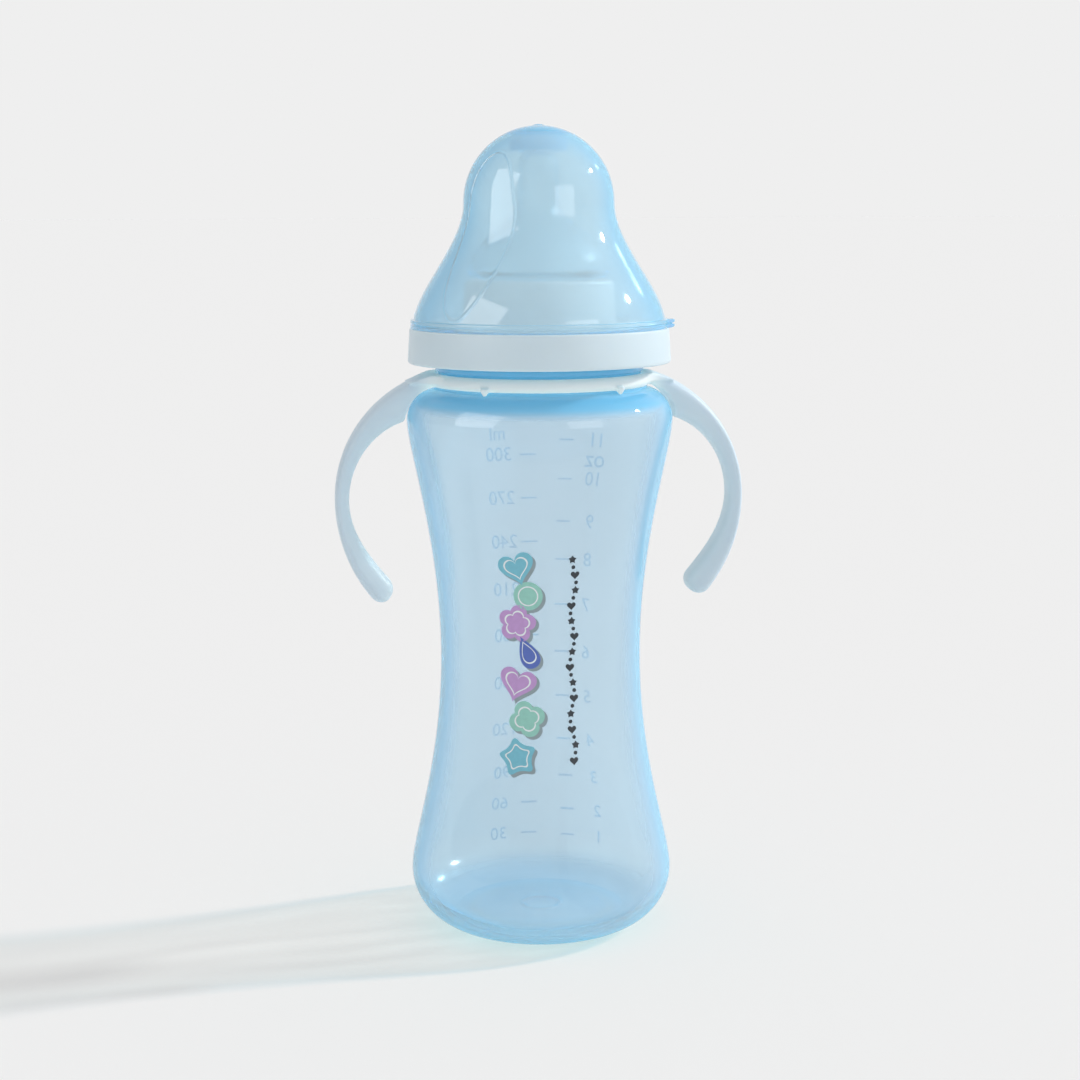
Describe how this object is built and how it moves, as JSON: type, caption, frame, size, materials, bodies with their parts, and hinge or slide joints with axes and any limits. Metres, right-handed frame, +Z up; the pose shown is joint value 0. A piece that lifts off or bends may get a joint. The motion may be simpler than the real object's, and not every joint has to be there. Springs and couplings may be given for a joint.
{
  "type": "baby bottle",
  "caption": "Hourglass baby bottle with a swivelling ring of open-ended handle arms, screw collar, soft teat and a clear lift-off hood.",
  "frame": {"origin": "centre of the standing ring, on the surface the bottle stands on", "axes": "+Z up along the bottle's axis, +X towards one handle arm, the front of the bottle faces -Y"},
  "size_m": [0.107, 0.0694, 0.2103],
  "materials": {
    "bottle": "transparent blue, glossy",
    "handle": "translucent pale blue-white, satin gloss",
    "collar": "off-white, satin gloss",
    "teat": "clear silicone, smooth",
    "hood": "transparent blue, glossy"
  },
  "bodies": {
    "bottle": {"bottle_body": "bottle"},
    "handles": {"handle_ring": "handle"},
    "teat_carrier": {"teat": "teat"},
    "collar": {"screw_collar": "collar"},
    "hood": {"hood": "hood"}
  },
  "joints": [
    {"name": "handle_swivel", "type": "hinge", "parent": "bottle", "child": "handles", "pos_m": [0, 0, 0.14575], "axis": [0, 0, 1], "continuous": true},
    {"name": "collar_rise", "type": "slide", "parent": "bottle", "child": "teat_carrier", "axis": [0, 0, 1], "range_m": [0, 0.0068]},
    {"name": "collar_turn", "type": "hinge", "parent": "teat_carrier", "child": "collar", "pos_m": [0, 0, 0.16], "axis": [0, 0, 1], "range_deg": [0, 540]},
    {"name": "hood_lift", "type": "slide", "parent": "collar", "child": "hood", "axis": [0, 0, 1], "range_m": [0, 0.06]}
  ],
  "couplings": [
    {"joint": "collar_rise", "follows": "collar_turn", "m_per_rad": 0.0007162}
  ]
}
